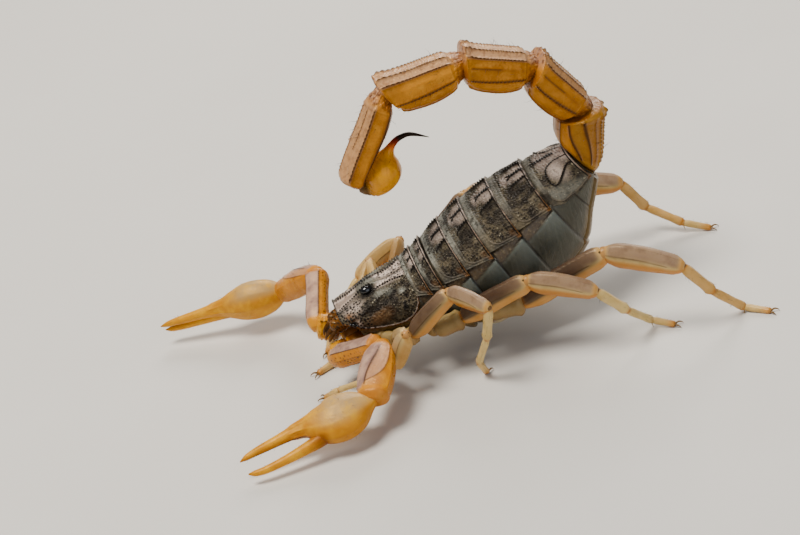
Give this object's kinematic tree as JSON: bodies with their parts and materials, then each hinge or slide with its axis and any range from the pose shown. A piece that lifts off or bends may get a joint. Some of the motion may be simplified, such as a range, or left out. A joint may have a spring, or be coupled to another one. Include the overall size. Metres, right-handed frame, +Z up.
{
  "type": "scorpion",
  "caption": "Life-size still model of a yellow scorpion in its threat posture, claws forward and tail arched over the back, standing on its feet.",
  "frame": {"origin": "centre of the model's box seen from above, at the floor it stands on", "axes": "-Y the way the head looks, +Y towards the rear of the trunk, +X the animal's left, +Z up"},
  "size_m": [0.0336, 0.0582, 0.0307],
  "materials": {
    "shell": "dark grey-brown granular back shell, low sheen",
    "membrane": "grey-green stretched side skin with fine folds, soft sheen",
    "belly": "olive yellow smooth underside shell, waxy sheen",
    "amber": "amber translucent-looking shell of claws and tail, glossy between dark ridges",
    "straw": "pale straw shell of legs and mouth parts, satin",
    "eye": "black polished domes",
    "venom": "bright amber smooth bulb, glossy",
    "sting": "dark red-brown to black hard point, glossy"
  },
  "bodies": {
    "root": {"carapace": "shell", "prosoma_body": "belly", "trunk_body": "membrane", "back_plate_1": "shell", "back_plate_2": "shell", "back_plate_3": "shell", "back_plate_4": "shell", "back_plate_5": "shell", "back_plate_6": "shell", "back_plate_7": "shell", "belly_plate_1": "belly", "belly_plate_2": "belly", "belly_plate_3": "belly", "belly_plate_4": "belly", "belly_plate_5": "belly", "median_eye_right": "eye", "median_eye_left": "eye", "chelicera_right": "straw", "chelicera_left": "straw", "pectine_right": "straw", "pectine_left": "straw", "tail_length_1": "amber", "tail_length_2": "amber", "tail_length_3": "amber", "tail_length_4": "amber", "tail_length_5": "amber", "sting_bulb": "venom", "sting_point": "sting", "front_leg_left_upper": "straw", "front_leg_left_lower": "straw", "front_leg_right_upper": "straw", "front_leg_right_lower": "straw", "second_leg_left_upper": "straw", "second_leg_left_lower": "straw", "second_leg_right_upper": "straw", "second_leg_right_lower": "straw", "third_leg_left_upper": "straw", "third_leg_left_lower": "straw", "third_leg_right_upper": "straw", "third_leg_right_lower": "straw", "rear_leg_left_upper": "straw", "rear_leg_left_lower": "straw", "rear_leg_right_upper": "straw", "rear_leg_right_lower": "straw", "pedipalp_left_base": "amber", "pedipalp_left_femur": "amber", "pedipalp_left_patella": "amber", "pedipalp_left_hand": "amber", "pedipalp_left_finger": "amber", "pedipalp_right_base": "amber", "pedipalp_right_femur": "amber", "pedipalp_right_patella": "amber", "pedipalp_right_hand": "amber", "pedipalp_right_finger": "amber"}
  },
  "joints": []
}
